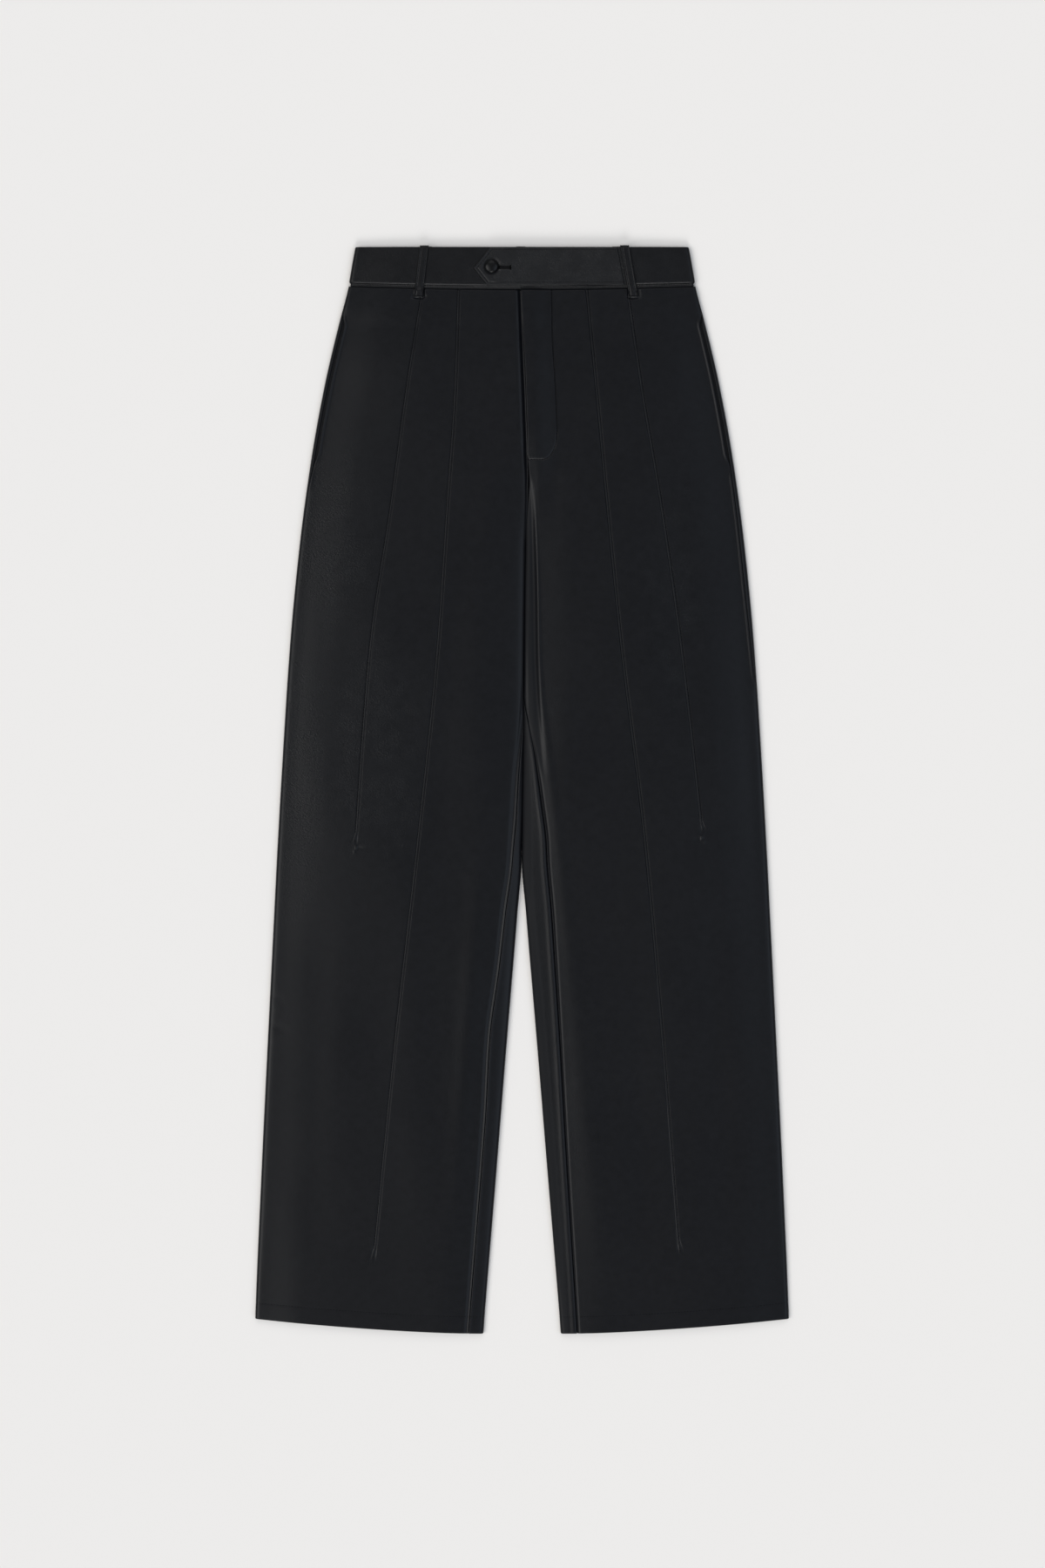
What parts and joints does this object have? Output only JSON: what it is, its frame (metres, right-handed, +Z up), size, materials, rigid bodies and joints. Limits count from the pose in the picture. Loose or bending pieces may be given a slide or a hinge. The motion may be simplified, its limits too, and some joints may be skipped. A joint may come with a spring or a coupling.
{
  "type": "pleated faux leather trousers",
  "caption": "High-waisted wide-leg faux leather trousers with stitched pintuck pleats and a buttoned waist tab, laid flat.",
  "frame": {"origin": "centre of the bounding box's footprint, on the surface that the trousers lie on", "axes": "+Y along the trousers from the hems towards the waist, +X towards the wearer's left (the right-hand side seen from above), +Z up out of the front panels"},
  "size_m": [0.5396, 1.0994, 0.0155],
  "materials": {
    "faux_leather": "black coated cloth with a fine grain and a soft satin sheen",
    "faux_leather_trim": "black coated cloth, pressed smoother and a little shinier on the waistband, tab, loops and button",
    "thread": "black twisted sewing thread"
  },
  "bodies": {
    "root": {"front_left": "faux_leather", "front_right": "faux_leather", "back_left": "faux_leather", "back_right": "faux_leather", "pocket_facing_left": "faux_leather", "pocket_facing_right": "faux_leather", "waistband_left": "faux_leather_trim", "waistband_right": "faux_leather_trim", "waistband_tab": "faux_leather_trim", "button": "faux_leather_trim", "belt_loop_front_left": "faux_leather_trim", "belt_loop_front_right": "faux_leather_trim", "belt_loop_back_left": "faux_leather_trim", "belt_loop_back_right": "faux_leather_trim", "belt_loop_back_centre": "faux_leather_trim"}
  },
  "joints": []
}
